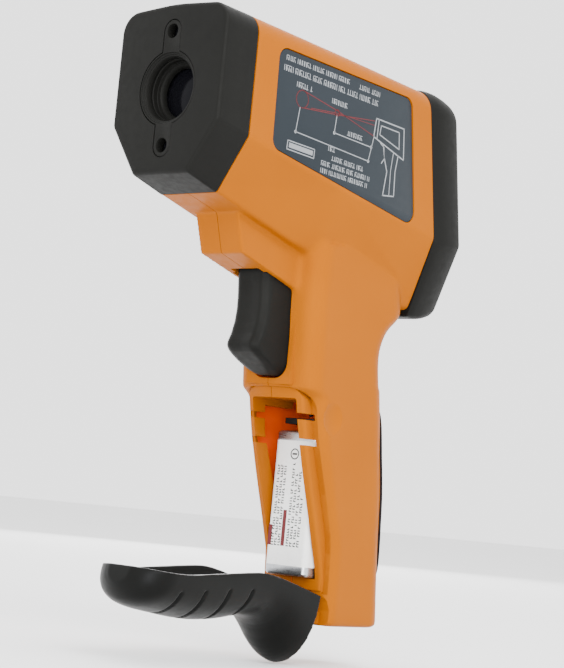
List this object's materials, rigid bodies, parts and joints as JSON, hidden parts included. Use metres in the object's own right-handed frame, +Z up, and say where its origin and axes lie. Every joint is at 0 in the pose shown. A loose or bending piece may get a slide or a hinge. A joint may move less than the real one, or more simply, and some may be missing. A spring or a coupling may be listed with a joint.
{
  "type": "infrared thermometer",
  "caption": "Pistol-shaped infrared thermometer with a lens in its nose, a trigger, a rear display with keys and a battery door swung open at the grip.",
  "frame": {"origin": "middle of the grip's flat base, on the plane between the two shells", "axes": "+X is the way the lens looks, +Y the left-hand side of someone holding it, +Z up along the standing grip"},
  "size_m": [0.1231, 0.052, 0.1956],
  "materials": {
    "orange_plastic": "satin moulded",
    "black_plastic": "fine texture",
    "dark_plastic": "plain moulded",
    "black_rubber": "soft matte",
    "label_film": "satin printed film",
    "lens_black": "dark polished lens",
    "window_glass": "clear tinted window",
    "display_grey": "unlit display",
    "board_green": "coated board",
    "bright_steel": "plated",
    "brass": "turned",
    "battery_white": "printed sleeve",
    "lead_red": "insulated wire"
  },
  "bodies": {
    "housing": {"left_shell": "orange_plastic", "right_shell": "orange_plastic", "screw_nose": "bright_steel", "screw_tail": "bright_steel", "screw_shoulder": "bright_steel", "screw_grip": "bright_steel", "screw_base": "bright_steel", "left_label": "label_film", "right_label": "label_film", "grip_pad": "black_rubber", "front_bezel": "black_plastic", "optics_plate": "black_plastic", "optics_frame": "dark_plastic", "lens_tube": "black_plastic", "lens_ring": "dark_plastic", "lens": "lens_black", "infrared_sensor": "bright_steel", "sensor_board": "board_green", "upper_laser": "brass", "lower_laser": "brass", "rear_bezel": "black_plastic", "display_window": "window_glass", "display_module": "display_grey", "display_board": "board_green", "main_board": "board_green", "buzzer": "dark_plastic", "processor": "dark_plastic", "trigger_switch": "dark_plastic", "trigger_pin": "bright_steel", "trigger_spring": "bright_steel", "battery": "battery_white", "battery_snap": "dark_plastic", "lead_red": "lead_red", "lead_black": "dark_plastic", "door_pin": "bright_steel"},
    "trigger": {"trigger": "black_plastic"},
    "battery_door": {"battery_door": "black_rubber"},
    "key_down": {"key_down": "black_rubber"},
    "key_mode": {"key_mode": "black_rubber"},
    "key_up": {"key_up": "black_rubber"},
    "key_light": {"key_light": "black_rubber"}
  },
  "joints": [
    {"name": "trigger_pull", "type": "hinge", "parent": "housing", "child": "trigger", "pos_m": [0.04, 0, 0.1125], "axis": [0, 1, 0], "range_deg": [0, 9], "stiffness_Nm_per_rad": 0.25, "springref_deg": -8.59, "deforming": ["trigger_spring"]},
    {"name": "door_swing", "type": "hinge", "parent": "housing", "child": "battery_door", "pos_m": [0.019, 0, 0.0025], "axis": [0, -1, 0], "range_deg": [-15, 74.5]},
    {"name": "key_down_press", "type": "slide", "parent": "housing", "child": "key_down", "axis": [0.9842, 0, -0.1772], "range_m": [0, 0.0008], "stiffness_N_per_m": 600, "springref_m": -0.0008},
    {"name": "key_mode_press", "type": "slide", "parent": "housing", "child": "key_mode", "axis": [0.9842, 0, -0.1772], "range_m": [0, 0.0008], "stiffness_N_per_m": 600, "springref_m": -0.0008},
    {"name": "key_up_press", "type": "slide", "parent": "housing", "child": "key_up", "axis": [0.9842, 0, -0.1772], "range_m": [0, 0.0008], "stiffness_N_per_m": 600, "springref_m": -0.0008},
    {"name": "key_light_press", "type": "slide", "parent": "housing", "child": "key_light", "axis": [0.9842, 0, -0.1772], "range_m": [0, 0.0008], "stiffness_N_per_m": 600, "springref_m": -0.0008}
  ]
}
